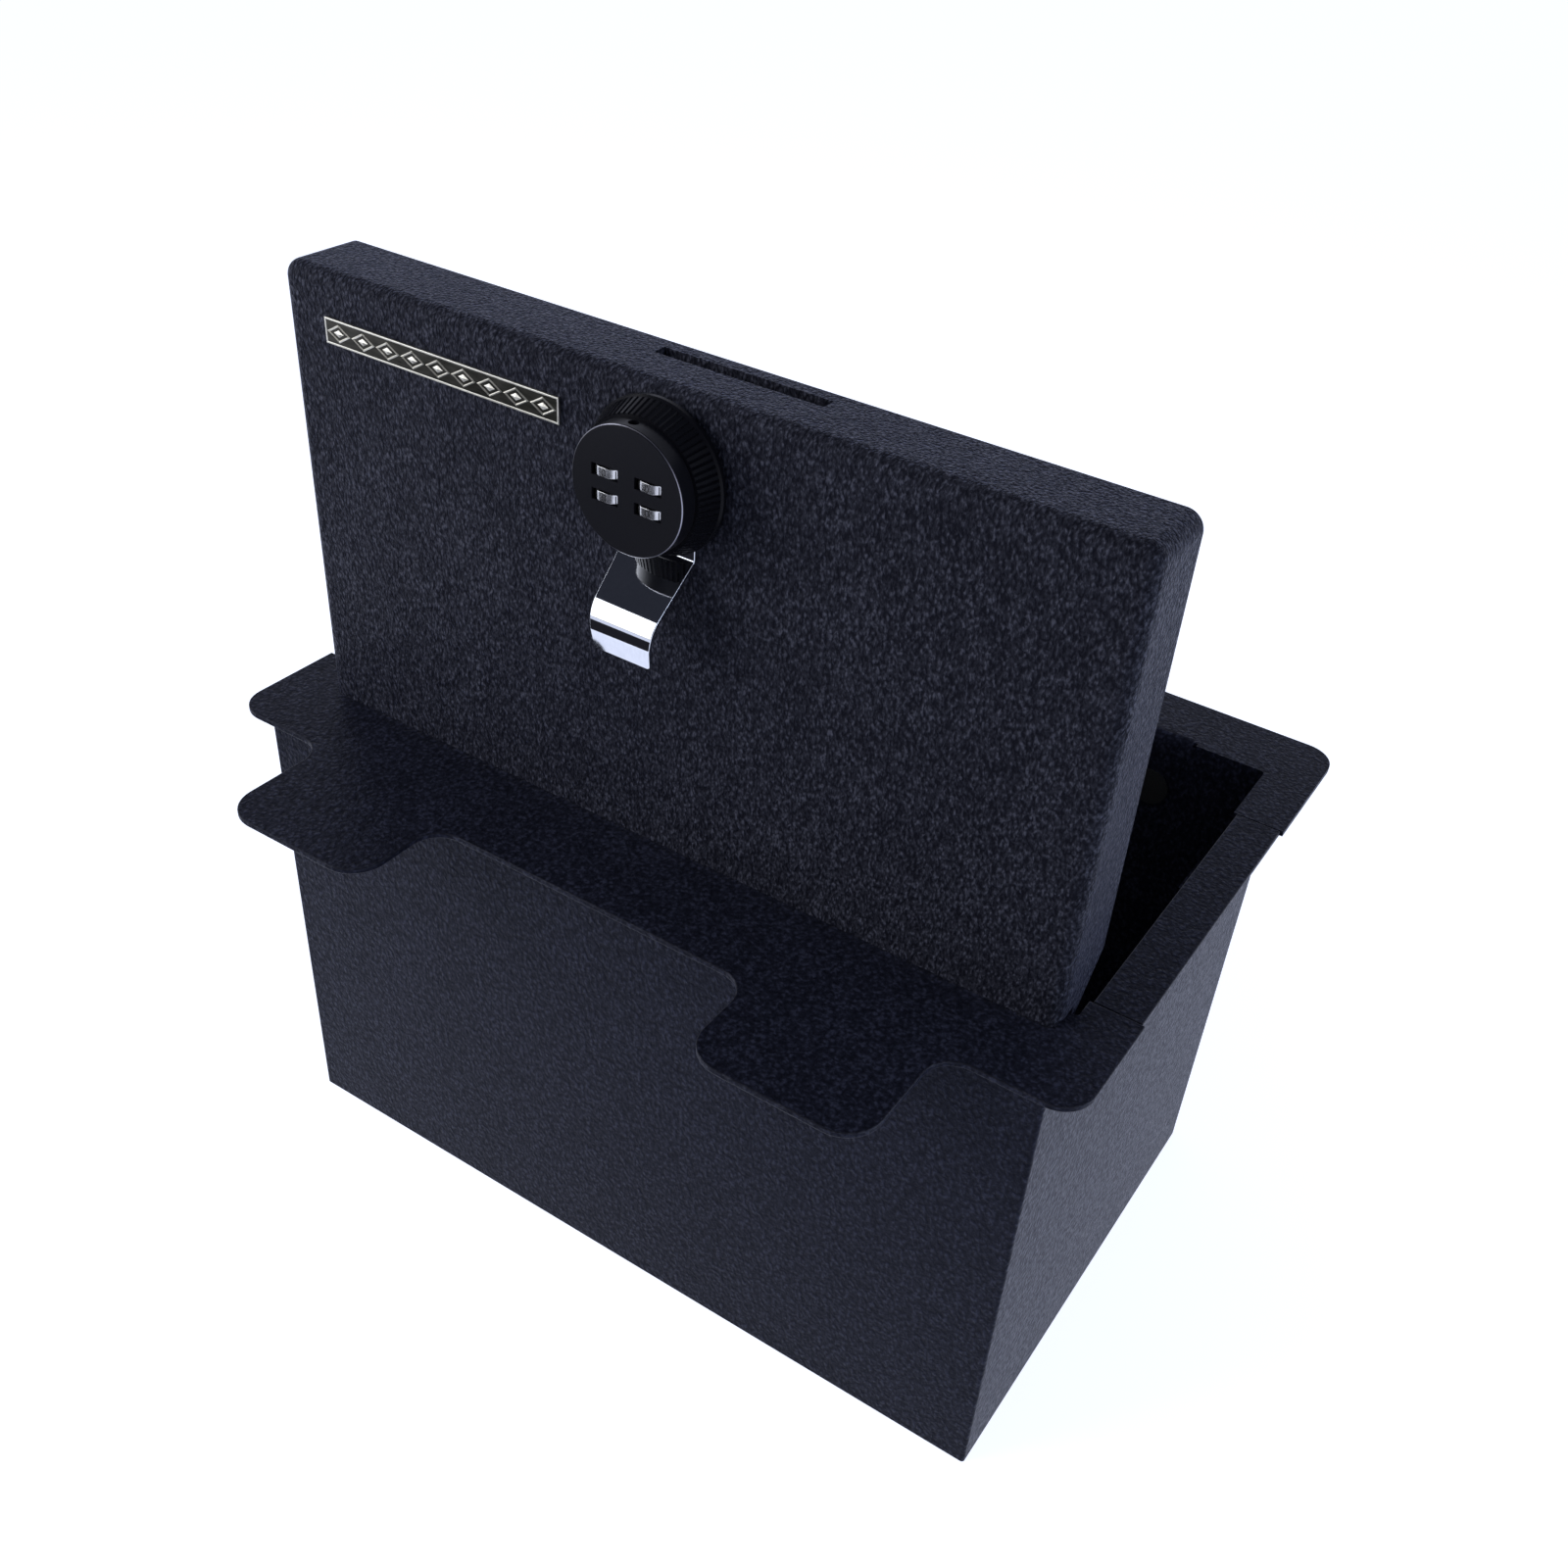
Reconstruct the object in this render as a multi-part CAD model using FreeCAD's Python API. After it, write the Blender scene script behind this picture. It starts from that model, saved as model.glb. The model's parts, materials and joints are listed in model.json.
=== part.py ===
import FreeCAD, Part
import math
import os

# Drop-in console lock box, millimetres.
# The origin is the middle of the floor's underside. +X runs along the hinge to the right,
# -Y is the hinge side with the two tabs, +Y is the latch side, +Z is up.
# The lid is modelled open at 90 degrees, unlocked.

# Tub
sheet = 2.0
body_length = 306.0
body_depth = 193.0
body_height = 186.0
edge_round = 1.2
rear_corner_radius = 4.0
rear_return = 11.0
fold_radius = 3.5
front_fold_width = 16.0
front_fold_inset = 4.0

# Flange
flange_side_overhang = 12.0
flange_front_overhang = 5.0
flange_rear_overhang = 26.3
flange_corner_radius = 11.0
strip_setback = 1.0
strip_lip = 3.0
ear_lip = 4.2
ear_length = 8.3
rear_ear_length = 31.0
seam_gap = 0.3
relief_x = 118.5
relief_width = 1.6
relief_depth = 1.8
mid_reach = 14.5
tab_reach = 49.4
tab_inner_x = 62.0
tab_width = 59.5
tab_corner_radius = 12.0
tab_fillet_radius = 10.0
inner_corner_radius = 1.5

# Hinge
hinge_inset = 28.3
hinge_drop = 6.1
plate_lip = 4.0
pin_radius = 2.5
pin_running_clearance = 0.05
pin_head_radius = 3.7
pin_head_height = 1.6
pin_head_gap = 0.6
ear_gap = 0.5
doubler_thickness = 2.5
doubler_height = 26.0
doubler_front = 6.0
washer_gap = 0.3
washer_thickness = 1.0
block_half_width = 7.0

# Lid
lid_depth = 27.0
lid_side_gap = 2.1
lid_rear_gap = 2.0
lid_open_gap = 0.4
lid_corner_radius = 5.5
lid_bend_radius = 4.5
lid_chamfer_angle = 39.0
lid_relief = 1.8
slot_left = 16.6
slot_right = 39.6
slot_width = 5.0

# Nameplate
name_left = 17.7
name_top = 13.4
name_length = 91.0
name_height = 8.1
name_thickness = 1.0
name_border = 0.7
name_inlay_depth = 0.35

# Lock
knob_from_top = 25.1
barrel_radius = 9.5
barrel_clearance = 0.2
barrel_flange_radius = 15.5
barrel_flange_height = 1.8
barrel_depth = 15.0
spindle_radius = 4.0
spindle_clearance = 0.05
spindle_head_radius = 10.0
spindle_head_height = 1.2
spindle_head_gap = 0.3
spindle_square = 6.0
backing_length = 60.0
backing_height = 40.0
backing_thickness = 1.5
nut_sides = 6
nut_flats = 25.0
nut_height = 5.0
tongue_middle_depth = 19.8
tongue_thickness = 3.0
tongue_length = 43.0
tongue_width = 18.0
tongue_corner = 3.0
tongue_washer_radius = 6.0
tongue_washer_thickness = 1.0
screw_radius = 2.5
screw_length = 11.0
screw_head_radius = 4.2
screw_head_height = 2.4
strike_clearance = 1.6
strike_end_clearance = 4.0
guard_thickness = 1.5
guard_height = 12.0
guard_margin = 6.0

# Knob
knob_gap = 0.8
skirt_base_radius = 22.9
skirt_front_radius = 20.0
skirt_height = 8.8
skirt_rim_height = 1.8
skirt_rim_bevel = 0.6
knob_bore_radius = 17.8
rib_count = 72
rib_depth = 0.45
cap_radius = 18.9
cap_bevel = 0.5
face_thickness = 1.0
carrier_clearance = 0.2
code_hole_radius = 1.6
wheel_column = 7.3
wheel_row = 3.65
wheel_sides = 10
wheel_radius = 6.0
wheel_width = 2.7
wheel_rise = 0.7
wheel_gap = 0.35
axle_radius = 1.0
axle_clearance = 0.05
axle_overrun = 2.6
spring_width = 3.2
spring_thickness = 0.3

# Finger pull
pull_thickness = 1.2
pull_width = 24.8
pull_taper_angle = 4.6
pull_base_radius = 16.0
pull_bend_start = 22.3
pull_bend_radius = 2.4
pull_rise_angle = 49.3
pull_straight = 18.3
pull_curl_radius = 10.1
pull_curl_angle = 59.3
pull_lip = 5.6
pull_tip_radius = 1.2

# Lid rests, plug and floor holes
rest_gap = 0.3
bumper_height = 2.5
bumper_width = 7.0
bumper_margin = 4.0
rest_length = 20.0
rest_reach = 13.0
rest_leg = 12.0
rest_from_rear = 44.0
plug_x = 106.6
plug_drop = 24.1
plug_hole_radius = 6.0
plug_flange_radius = 7.4
plug_inner_lip = 0.6
plug_outer_lip = 1.2
bolt_spacing_x = 200.0
bolt_spacing_y = 110.0
bolt_hole_radius = 3.3

# Places worked out from the sizes above
half_length = body_length / 2
half_depth = body_depth / 2
wall_in_x = half_length - sheet
wall_in_y = half_depth - sheet
flange_top = body_height
flange_under = body_height - sheet
flange_half = half_length + flange_side_overhang
flange_front_y = -half_depth - flange_front_overhang
flange_rear_y = half_depth + flange_rear_overhang
opening_half = wall_in_x - ear_lip
hinge_y = -half_depth + hinge_inset
hinge_z = flange_top - hinge_drop
plate_inner_y = hinge_y + plate_lip
front_seam_y = plate_inner_y + ear_length
rear_seam_y = wall_in_y - rear_ear_length

lid_face_y = hinge_y - hinge_drop
lid_low_z = flange_top + lid_open_gap
lid_closed_front_y = hinge_y + hinge_drop + lid_open_gap
lid_height = wall_in_y - lid_rear_gap - lid_closed_front_y
lid_half = opening_half - lid_side_gap
lid_top_z = lid_low_z + lid_height
lid_inner_y = lid_face_y + sheet
lid_inner_x = lid_half - sheet
knob_z = lid_top_z - knob_from_top

pull_top = pull_thickness
flange_front = pull_top + barrel_flange_height
head_back = flange_front + spindle_head_gap
head_front = head_back + spindle_head_height
skirt_back = pull_top + knob_gap
skirt_front = skirt_back + skirt_height
wheel_middle = head_front + spring_thickness + wheel_gap + wheel_radius
face_front = wheel_middle + wheel_radius - wheel_rise
face_back = face_front - face_thickness
tongue_back = tongue_middle_depth - tongue_thickness / 2
tongue_front = tongue_middle_depth + tongue_thickness / 2

# Lengths that differ by less than this count as equal
tiny = 1e-6

V = FreeCAD.Vector
X_DIR = V(1, 0, 0)
Y_DIR = V(0, 1, 0)
Z_DIR = V(0, 0, 1)


def block(x0, x1, y0, y1, z0, z1):
    """A box between two values on each axis."""
    return Part.makeBox(x1 - x0, y1 - y0, z1 - z0, V(x0, y0, z0))


def outline(corners, place):
    """A closed wire through (u, v, radius) corners, with each corner rounded by its radius."""
    starts = []
    middles = []
    ends = []
    count = len(corners)
    for i, (u, v, radius) in enumerate(corners):
        here = V(u, v, 0)
        before = V(corners[i - 1][0], corners[i - 1][1], 0)
        after = V(corners[(i + 1) % count][0], corners[(i + 1) % count][1], 0)
        to_before = (before - here).normalize()
        to_after = (after - here).normalize()
        half_angle = to_before.getAngle(to_after) / 2
        reach = radius / math.tan(half_angle)
        bisector = (to_before + to_after).normalize()
        starts.append(here + to_before * reach)
        ends.append(here + to_after * reach)
        middles.append(here + bisector * (radius / math.sin(half_angle) - radius))
    edges = []
    for i in range(count):
        if corners[i][2] > 0:
            arc_points = [place(p.x, p.y) for p in (starts[i], middles[i], ends[i])]
            edges.append(Part.Arc(*arc_points).toShape())
        a = place(ends[i].x, ends[i].y)
        b = place(starts[(i + 1) % count].x, starts[(i + 1) % count].y)
        if (b - a).Length > tiny:
            edges.append(Part.makeLine(a, b))
    return Part.Wire(edges)


def prism(corners, place, sweep):
    """A rounded outline swept straight along a vector."""
    return Part.Face(outline(corners, place)).extrude(sweep)


def flat(z):
    """Places a plan outline at height z."""
    return lambda u, v: V(u, v, z)


def side_on(x):
    """Places a lid side outline: u is depth behind the lid's face, v is height on the lid."""
    return lambda u, v: V(x, lid_face_y + u, lid_low_z + v)


def ring(outer, inner, base, direction, height):
    """A round disc with a round hole."""
    body = Part.makeCylinder(outer, height, base, direction)
    return body.cut(Part.makeCylinder(inner, height, base, direction))


def mirrored(shape):
    """The same piece at the other end of the box."""
    return shape.mirror(V(0, 0, 0), X_DIR)


def on_knob(x, ahead, up):
    """A point by its distance ahead of the lid's face, measured from the knob's axis."""
    return V(x, lid_face_y - ahead, knob_z + up)


def disc_ahead(radius, back, front):
    """A round disc on the knob's axis, between two distances ahead of the lid's face."""
    return Part.makeCylinder(radius, front - back, on_knob(0, back, 0), -Y_DIR)


def round_edges(shape, radius, wanted):
    """Fillets the edges that a test picks."""
    return shape.makeFillet(radius, [e for e in shape.Edges if wanted(e)])


# Tub panels
def make_front_wall():
    low = -half_depth
    profile = [
        (low, 0, 0),
        (low + sheet, 0, 0),
        (low + sheet, flange_under - sheet, fold_radius - sheet),
        (low + front_fold_width, flange_under - sheet, 0),
        (low + front_fold_width, flange_under, 0),
        (low, flange_under, fold_radius),
    ]
    place = lambda u, v: V(-half_length, u, v)
    wall = prism(profile, place, V(body_length, 0, 0))
    fold_end = half_length - front_fold_inset
    for side in (-1, 1):
        x0 = min(side * fold_end, side * half_length)
        x1 = max(side * fold_end, side * half_length)
        fold_low = flange_under - fold_radius
        wall = wall.cut(block(x0, x1, low + sheet, low + front_fold_width, fold_low, flange_under))
    corner = lambda e: abs(e.BoundBox.ZLength - e.Length) < tiny and abs(e.BoundBox.YMin - low) < tiny
    return round_edges(wall, edge_round, corner)


def make_rear_panel():
    return_y = half_depth - rear_return
    inner_radius = rear_corner_radius - sheet
    plan = [
        (half_length, return_y, 0),
        (half_length, half_depth, rear_corner_radius),
        (-half_length, half_depth, rear_corner_radius),
        (-half_length, return_y, 0),
        (-wall_in_x, return_y, 0),
        (-wall_in_x, wall_in_y, inner_radius),
        (wall_in_x, wall_in_y, inner_radius),
        (wall_in_x, return_y, 0),
    ]
    wall = prism(plan, flat(0), V(0, 0, flange_under))
    fold_zone = block(-relief_x, relief_x, wall_in_y, half_depth, flange_top - fold_radius, flange_under)
    wall = wall.cut(fold_zone)
    bend_y = wall_in_y + fold_radius
    bend_z = flange_top - fold_radius
    bend = Part.makeCylinder(fold_radius, 2 * relief_x, V(-relief_x, bend_y, bend_z), X_DIR)
    hollow = Part.makeCylinder(fold_radius - sheet, 2 * relief_x, V(-relief_x, bend_y, bend_z), X_DIR)
    bend = bend.cut(hollow)
    bend = bend.common(block(-relief_x, relief_x, wall_in_y, bend_y, bend_z, flange_top))
    plan = [
        (flange_half, rear_seam_y, 0),
        (flange_half, flange_rear_y, flange_corner_radius),
        (-flange_half, flange_rear_y, flange_corner_radius),
        (-flange_half, rear_seam_y, 0),
        (-opening_half, rear_seam_y, 0),
        (-opening_half, wall_in_y, inner_corner_radius),
        (-relief_x, wall_in_y, 0),
        (-relief_x, bend_y, 0),
        (relief_x, bend_y, 0),
        (relief_x, wall_in_y, 0),
        (opening_half, wall_in_y, inner_corner_radius),
        (opening_half, rear_seam_y, 0),
    ]
    flange = prism(plan, flat(flange_under), V(0, 0, sheet))
    panel = wall.fuse([bend, flange]).removeSplitter()
    notch = block(
        relief_x, relief_x + relief_width,
        wall_in_y, wall_in_y + relief_depth,
        flange_top - relief_depth, flange_top,
    )
    panel = panel.cut([notch, mirrored(notch)])
    strike = block(
        -tongue_width / 2 - strike_end_clearance, tongue_sweep_right + strike_end_clearance,
        wall_in_y, half_depth,
        flange_top - tongue_front - strike_clearance, flange_top - tongue_back + strike_clearance,
    )
    hole = Part.makeCylinder(plug_hole_radius, sheet, plug_centre, Y_DIR)
    return panel.cut([strike, hole])


def make_side_wall():
    return block(wall_in_x, half_length, -wall_in_y, half_depth - rear_return, 0, flange_under)


def make_floor():
    corner = rear_corner_radius - sheet
    plan = [
        (-wall_in_x, -wall_in_y, 0),
        (wall_in_x, -wall_in_y, 0),
        (wall_in_x, wall_in_y, corner),
        (-wall_in_x, wall_in_y, corner),
    ]
    floor = prism(plan, flat(0), V(0, 0, sheet))
    for x in (-bolt_spacing_x / 2, bolt_spacing_x / 2):
        for y in (-bolt_spacing_y / 2, bolt_spacing_y / 2):
            floor = floor.cut(Part.makeCylinder(bolt_hole_radius, sheet, V(x, y, 0)))
    return floor


# Flange: each piece keeps a split line over the wall's outer face, so that the underside
# that lies on the console rim is a face of its own
def make_front_plate():
    tab_outer_x = tab_inner_x + tab_width
    mid_y = -half_depth - mid_reach
    tab_y = -half_depth - tab_reach
    right = [
        (opening_half, plate_inner_y, inner_corner_radius),
        (opening_half, front_seam_y, 0),
        (flange_half, front_seam_y, 0),
        (flange_half, flange_front_y, flange_corner_radius),
        (tab_outer_x, flange_front_y, tab_fillet_radius),
        (tab_outer_x, tab_y, tab_corner_radius),
        (tab_inner_x, tab_y, tab_corner_radius),
        (tab_inner_x, mid_y, tab_fillet_radius),
    ]
    left = [(-x, y, radius) for x, y, radius in reversed(right)]
    plate = prism(right + left, flat(flange_under), V(0, 0, sheet))
    ahead = block(-flange_half, flange_half, tab_y, -half_depth, flange_under, flange_top)
    return plate.cut(ahead).fuse(plate.common(ahead))


def make_flange_strip():
    near = front_seam_y + seam_gap
    far = rear_seam_y - seam_gap
    seat = block(wall_in_x - strip_lip, half_length, near, far, flange_under, flange_top)
    overhang = block(half_length, flange_half - strip_setback, near, far, flange_under, flange_top)
    return seat.fuse(overhang)


# Hinge
def make_hinge_block():
    low = hinge_z - block_half_width
    near = hinge_y - block_half_width
    body = block(block_in_x, wall_in_x, near, near + 2 * block_half_width, low, flange_under)
    return body.cut(Part.makeCylinder(pin_radius, wall_in_x, V(0, hinge_y, hinge_z), X_DIR))


def make_hinge_pin():
    head_x = lid_inner_x - doubler_thickness - pin_head_gap
    shank = Part.makeCylinder(pin_radius, wall_in_x - head_x, V(head_x, hinge_y, hinge_z), X_DIR)
    head = Part.makeCylinder(pin_head_radius, pin_head_height, V(head_x, hinge_y, hinge_z), -X_DIR)
    return shank.fuse(head).removeSplitter()


def make_hinge_washer():
    base = V(block_in_x - washer_thickness, hinge_y, hinge_z)
    return ring(pin_head_radius, pin_radius, base, X_DIR, washer_thickness)


# Lid
def lid_pan(inset, corner_radius, bend_radius, low, back):
    """A round-cornered block whose face side has a soft bend on its top and both ends."""
    half = lid_half - inset
    front = lid_face_y + inset
    top = lid_top_z - inset
    body = block(-half, half, front, back, low, top)
    along_y = lambda e: abs(e.BoundBox.YLength - e.Length) < tiny and abs(e.BoundBox.ZMax - top) < tiny
    body = round_edges(body, corner_radius, along_y)
    bend = lambda e: e.BoundBox.YMax - front < tiny and e.BoundBox.ZMax - low > tiny
    return round_edges(body, bend_radius, bend)


def ear_corners(front, top):
    """The hinge ear's outline, from the neck behind the plate's edge down to the pivot boss."""
    slope = math.radians(lid_chamfer_angle)
    tangent_u = hinge_drop + boss_radius * math.cos(slope)
    tangent_v = pivot_v - boss_radius * math.sin(slope)
    top_u = tangent_u + (top - tangent_v) * math.tan(slope)
    return [
        (front, top, 0),
        (front, lid_relief, 0),
        (neck_u, lid_relief, 0),
        (neck_u, pivot_v + boss_radius, 0),
        (hinge_drop, pivot_v + boss_radius, 0),
        (hinge_drop, pivot_v, 0),
        (tangent_u, tangent_v, 0),
        (min(top_u, lid_depth), top, 0),
    ]


def make_ear(x, thickness, front, top):
    """A hinge ear with its round boss, from x outwards."""
    arm = prism(ear_corners(front, top), side_on(x), V(thickness, 0, 0))
    boss = Part.makeCylinder(boss_radius, thickness, V(x, hinge_y, hinge_z), X_DIR)
    return arm.fuse(boss).removeSplitter()


def pivot_hole():
    radius = pin_radius + pin_running_clearance
    return Part.makeCylinder(radius, 2 * half_length, V(-half_length, hinge_y, hinge_z), X_DIR)


def make_lid_shell():
    back = lid_face_y + lid_depth
    outer = lid_pan(0, lid_corner_radius, lid_bend_radius, lid_low_z, back)
    inner_corner = lid_corner_radius - sheet
    inner_bend = lid_bend_radius - sheet
    inner = lid_pan(sheet, inner_corner, inner_bend, lid_low_z - sheet, back + sheet)
    shell = outer.cut(inner)
    slope = math.radians(lid_chamfer_angle)
    tangent_u = hinge_drop + boss_radius * math.cos(slope)
    tangent_v = pivot_v - boss_radius * math.sin(slope)
    rim_v = tangent_v + (lid_depth - tangent_u) / math.tan(slope)
    foot_u = tangent_u - tangent_v * math.tan(slope)
    wedge = [(foot_u, 0, 0), (lid_depth, 0, 0), (lid_depth, rim_v, 0)]
    shell = shell.cut(prism(wedge, side_on(-lid_half), V(2 * lid_half, 0, 0)))
    relief = [
        (sheet, 0, 0),
        (neck_u, 0, 0),
        (neck_u, lid_relief, 0),
        (sheet, lid_relief, 0),
    ]
    shell = shell.cut(prism(relief, side_on(-lid_half), V(2 * lid_half, 0, 0)))
    ear = make_ear(lid_inner_x, sheet, lid_bend_radius, lid_relief + sheet)
    shell = shell.fuse([ear, mirrored(ear)]).removeSplitter()
    slot = block(
        -slot_left, slot_right,
        lid_face_y + tongue_middle_depth - slot_width / 2,
        lid_face_y + tongue_middle_depth + slot_width / 2,
        lid_top_z - sheet, lid_top_z,
    )
    hole = Part.makeCylinder(barrel_radius + barrel_clearance, sheet, on_knob(0, 0, 0), Y_DIR)
    return shell.cut([slot, hole, pivot_hole()])


def make_doubler():
    x = lid_inner_x - doubler_thickness
    return make_ear(x, doubler_thickness, doubler_front, doubler_height).cut(pivot_hole())


# Nameplate
def make_nameplate():
    left = -lid_half + name_left
    top = lid_top_z - name_top
    tray = block(left, left + name_length, lid_face_y - name_thickness, lid_face_y, top - name_height, top)
    field = block(
        left + name_border, left + name_length - name_border,
        lid_face_y - name_thickness, lid_face_y - name_thickness + name_inlay_depth,
        top - name_height + name_border, top - name_border,
    )
    return tray.cut(field), field


# Lock
def make_finger_pull():
    rise = math.radians(pull_rise_angle)
    curl_end = math.radians(pull_rise_angle - pull_curl_angle)
    bend_u = pull_bend_start + pull_bend_radius * math.sin(rise)
    bend_v = pull_bend_radius * (1 - math.cos(rise))
    curl_u = bend_u + pull_straight * math.cos(rise)
    curl_v = bend_v + pull_straight * math.sin(rise)
    middle_u = curl_u + pull_curl_radius * math.sin(rise)
    middle_v = curl_v - pull_curl_radius * math.cos(rise)

    def bend_point(angle, offset):
        radius = pull_bend_radius - offset
        down = pull_bend_start + radius * math.sin(angle)
        return on_pull(down, pull_bend_radius - radius * math.cos(angle))

    def curl_point(angle, offset):
        radius = pull_curl_radius + offset
        return on_pull(middle_u - radius * math.sin(angle), middle_v + radius * math.cos(angle))

    def lip_point(offset):
        along = V(0, -math.sin(curl_end), -math.cos(curl_end))
        return curl_point(curl_end, offset) + along * pull_lip

    def on_pull(down, ahead):
        return on_knob(-pull_width / 2, ahead, -down)

    def arc(point, first, last, offset):
        middle = (first + last) / 2
        return Part.Arc(point(first, offset), point(middle, offset), point(last, offset)).toShape()

    under = [
        Part.makeLine(on_pull(0, 0), on_pull(pull_bend_start, 0)),
        arc(bend_point, 0, rise, 0),
        Part.makeLine(bend_point(rise, 0), curl_point(rise, 0)),
        arc(curl_point, rise, curl_end, 0),
        Part.makeLine(curl_point(curl_end, 0), lip_point(0)),
    ]
    over = [
        Part.makeLine(lip_point(0), lip_point(pull_thickness)),
        Part.makeLine(lip_point(pull_thickness), curl_point(curl_end, pull_thickness)),
        arc(curl_point, curl_end, rise, pull_thickness),
        Part.makeLine(curl_point(rise, pull_thickness), bend_point(rise, pull_thickness)),
        arc(bend_point, rise, 0, pull_thickness),
        Part.makeLine(on_pull(pull_bend_start, pull_thickness), on_pull(0, pull_thickness)),
        Part.makeLine(on_pull(0, pull_thickness), on_pull(0, 0)),
    ]
    strap = Part.Face(Part.Wire(under + over)).extrude(V(pull_width, 0, 0))
    taper_end = middle_u + pull_curl_radius + pull_lip + 2 * pull_thickness
    taper_ahead = middle_v + pull_curl_radius + 2 * pull_thickness
    narrowing = (taper_end - pull_bend_start) * math.tan(math.radians(pull_taper_angle))
    for side in (-1, 1):
        edge = side * pull_width / 2
        corners = [
            on_knob(edge, 0, -pull_bend_start), on_knob(edge, 0, -taper_end),
            on_knob(edge - side * narrowing, 0, -taper_end), on_knob(edge, 0, -pull_bend_start),
        ]
        strap = strap.cut(Part.Face(Part.makePolygon(corners)).extrude(V(0, -taper_ahead, 0)))
    tip = (lip_point(0) + lip_point(pull_thickness)) / 2
    at_tip = lambda e: abs(e.CenterOfMass.z - tip.z) < tiny and abs(e.CenterOfMass.y - tip.y) < tiny
    strap = round_edges(strap, pull_tip_radius, at_tip)
    pull = strap.fuse(disc_ahead(pull_base_radius, 0, pull_top)).removeSplitter()
    return pull.cut(disc_ahead(barrel_radius + barrel_clearance, 0, pull_top))


def make_lock_barrel():
    flange = disc_ahead(barrel_flange_radius, pull_top, flange_front)
    body = disc_ahead(barrel_radius, -barrel_depth, pull_top)
    bore = disc_ahead(spindle_radius + spindle_clearance, -barrel_depth, flange_front)
    return flange.fuse(body).removeSplitter().cut(bore)


def make_backing_plate():
    half = backing_length / 2
    low = knob_z - backing_height / 2
    plate = block(-half, half, lid_inner_y, lid_inner_y + backing_thickness, low, low + backing_height)
    return plate.cut(disc_ahead(barrel_radius + barrel_clearance, -sheet - backing_thickness, -sheet))


def make_lock_nut():
    back = sheet + backing_thickness
    corner = nut_flats / math.sqrt(3)
    points = [on_knob(corner * math.cos(a), -back, corner * math.sin(a)) for a in turns(nut_sides)]
    nut = Part.Face(Part.makePolygon(points + points[:1])).extrude(Y_DIR * nut_height)
    return nut.cut(disc_ahead(barrel_radius, -back - nut_height, -back))


def turns(count):
    """Equal angles round a full turn."""
    return [2 * math.pi * i / count for i in range(count)]


def make_spindle():
    head = disc_ahead(spindle_head_radius, head_back, head_front)
    shaft = disc_ahead(spindle_radius, -tongue_back, head_back)
    half = spindle_square / 2
    square = block(
        -half, half,
        lid_face_y + tongue_back, lid_face_y + tongue_front,
        knob_z - half, knob_z + half,
    )
    bore = Part.makeCylinder(screw_radius, screw_length, on_knob(0, -tongue_front, 0), -Y_DIR)
    return head.fuse([shaft, square]).removeSplitter().cut(bore)


def make_tongue():
    half = tongue_width / 2
    place = lambda u, v: on_knob(u, -tongue_back, v)
    plan = [
        (0, -half, 0),
        (tongue_length, -half, tongue_corner),
        (tongue_length, half, tongue_corner),
        (0, half, 0),
    ]
    tongue = prism(plan, place, Y_DIR * tongue_thickness)
    tongue = tongue.fuse(disc_ahead(half, -tongue_front, -tongue_back)).removeSplitter()
    half = spindle_square / 2
    return tongue.cut(block(
        -half, half,
        lid_face_y + tongue_back, lid_face_y + tongue_front,
        knob_z - half, knob_z + half,
    ))


def make_tongue_guard():
    """A strip welded under the lid's top edge, just behind the slot, to keep hooks out."""
    front = lid_face_y + tongue_middle_depth + slot_width / 2
    top = lid_top_z - sheet
    return block(
        -slot_left - guard_margin, slot_right + guard_margin,
        front, front + guard_thickness,
        top - guard_height, top,
    )


def make_tongue_washer():
    base = on_knob(0, -tongue_front, 0)
    return ring(tongue_washer_radius, screw_radius, base, Y_DIR, tongue_washer_thickness)


def make_tongue_screw():
    base = on_knob(0, -tongue_front - tongue_washer_thickness, 0)
    head = Part.makeCylinder(screw_head_radius, screw_head_height, base, Y_DIR)
    shank = Part.makeCylinder(screw_radius, screw_length + tongue_washer_thickness, base, -Y_DIR)
    return head.fuse(shank).removeSplitter()


# Knob
def make_knob_skirt():
    rim_front = skirt_back + skirt_rim_height
    rim = disc_ahead(skirt_base_radius, skirt_back, rim_front)
    front_edge = lambda e: abs(e.BoundBox.YMax - (lid_face_y - rim_front)) < tiny
    rim = rim.makeChamfer(skirt_rim_bevel, [e for e in rim.Edges if front_edge(e)])
    cone_radius = skirt_base_radius - skirt_rim_bevel
    cone_height = skirt_front - rim_front
    cone = Part.makeCone(cone_radius, skirt_front_radius, cone_height, on_knob(0, rim_front, 0), -Y_DIR)
    skirt = rim.fuse(cone).removeSplitter()
    skirt = skirt.cut(disc_ahead(knob_bore_radius, skirt_back, skirt_front))
    half_pitch = math.pi / rib_count
    reach = cone_radius / math.cos(half_pitch)
    grooves = []
    for angle in turns(rib_count):
        corners = []
        for turn, radius in ((-0.5, reach), (0, cone_radius - rib_depth), (0.5, reach)):
            a = angle + turn * half_pitch
            corners.append(on_knob(radius * math.cos(a), rim_front, radius * math.sin(a)))
        inwards = V(math.cos(angle), 0, math.sin(angle)) * (skirt_front_radius - cone_radius)
        sweep = inwards - Y_DIR * cone_height
        grooves.append(Part.Face(Part.makePolygon(corners + corners[:1])).extrude(sweep))
    return skirt.cut(grooves)


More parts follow.
